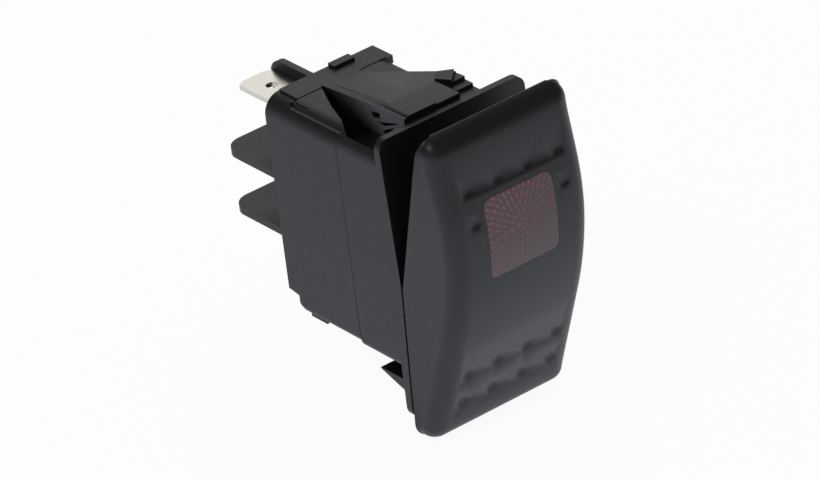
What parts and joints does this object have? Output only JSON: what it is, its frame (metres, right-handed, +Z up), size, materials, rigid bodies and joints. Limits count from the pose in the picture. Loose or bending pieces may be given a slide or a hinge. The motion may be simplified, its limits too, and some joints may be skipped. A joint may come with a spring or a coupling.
{
  "type": "panel rocker switch",
  "caption": "Snap-in panel rocker switch with an oversized tapered cap, a lit window lens, grip dimples, snap wings, blade terminals and barrier fins.",
  "frame": {"origin": "middle of the panel opening, on the rear face of the flange, where the panel's front face lies", "axes": "+X across the switch, to the right seen from the front; +Y back behind the panel, along the way the switch is pushed in; +Z up, towards the end with the lens"},
  "size_m": [0.027, 0.0589, 0.0529],
  "materials": {
    "housing_plastic": "black moulded nylon with a fine grain",
    "cap_plastic": "black moulded plastic with a fine grain",
    "lens_plastic": "transparent dark red, polished outside",
    "seal_rubber": "matt",
    "tinned_brass": "tin plated, satin",
    "contact_silver": "silver alloy, satin",
    "arm_copper": "rolled copper strip",
    "spring_steel": "drawn wire",
    "inner_plastic": "natural moulded acetal",
    "resistor_body": "lacquered ceramic"
  },
  "bodies": {
    "frame": {"bracket": "housing_plastic", "frame_seal": "seal_rubber", "base": "housing_plastic", "lamp_blade": "tinned_brass", "lamp_jumper": "arm_copper", "line_blade": "tinned_brass", "load_blade": "tinned_brass", "fixed_contact": "contact_silver", "lamp_holder": "inner_plastic", "lamp": "lens_plastic", "lamp_lead_left": "tinned_brass", "lamp_lead_right": "tinned_brass", "resistor": "resistor_body"},
    "rocker": {"rocker": "cap_plastic", "lens": "lens_plastic", "actuator": "housing_plastic", "plunger_spring": "spring_steel"},
    "plunger": {"plunger": "inner_plastic"},
    "contact": {"contact_arm": "arm_copper", "moving_contact": "contact_silver"}
  },
  "joints": [
    {"name": "rocker_hinge", "type": "hinge", "parent": "frame", "child": "rocker", "pos_m": [0, 0.0015, 0], "axis": [-1, 0, 0], "range_deg": [0, 19]},
    {"name": "plunger_slide", "type": "slide", "parent": "rocker", "child": "plunger", "axis": [0, -0.9863, -0.165], "range_m": [0, 0.0008], "stiffness_N_per_m": 300, "springref_m": -0.001, "deforming": ["plunger_spring"]},
    {"name": "contact_hinge", "type": "hinge", "parent": "frame", "child": "contact", "pos_m": [0.0052, 0.0215, 0], "axis": [1, 0, 0], "range_deg": [0, 12]}
  ],
  "couplings": [
    {"joint": "contact_hinge", "follows": "rocker_hinge", "ratio": 0.63158}
  ]
}
